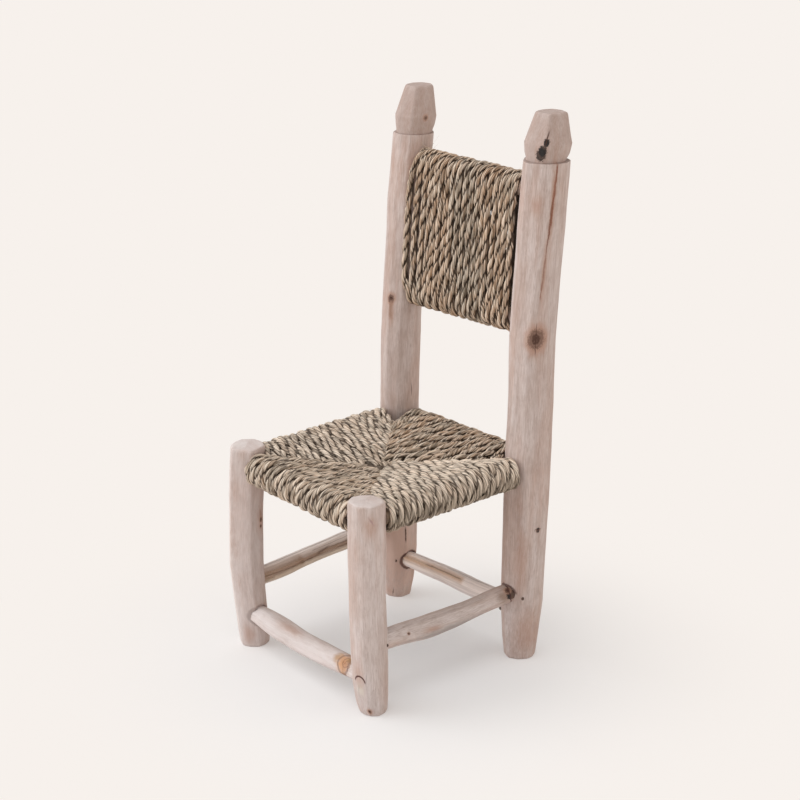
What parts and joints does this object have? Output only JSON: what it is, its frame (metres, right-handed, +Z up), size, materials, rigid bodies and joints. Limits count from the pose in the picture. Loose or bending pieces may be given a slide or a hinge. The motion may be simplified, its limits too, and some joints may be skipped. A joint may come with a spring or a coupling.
{
  "type": "chair",
  "caption": "Small upright chair of debarked branch posts and rungs with an envelope-woven rope seat and a rope-wound back panel.",
  "frame": {"origin": "centre of the bounding box, on the plane of the feet", "axes": "+Z up, -Y towards the front of the seat, +X to the left of a person sitting on the chair"},
  "size_m": [0.2997, 0.326, 0.7],
  "materials": {
    "wood": "matt, whitewashed and draw-knifed",
    "rail_wood": "matt, bare",
    "rope": "matt plant-fibre rope",
    "nails": "dull iron"
  },
  "bodies": {
    "root": {"post_front_left": "wood", "post_front_right": "wood", "post_back_left": "wood", "post_back_right": "wood", "rung_front": "wood", "rung_left": "wood", "rung_right": "wood", "rung_back": "wood", "rung_nails": "nails", "seat_rail_front": "rail_wood", "seat_rail_right": "rail_wood", "seat_rail_back": "rail_wood", "seat_rail_left": "rail_wood", "seat_weave_front": "rope", "seat_weave_right": "rope", "seat_weave_back": "rope", "seat_weave_left": "rope", "back_rail_upper": "rail_wood", "back_rail_lower": "rail_wood", "back_winding": "rope"}
  },
  "joints": []
}
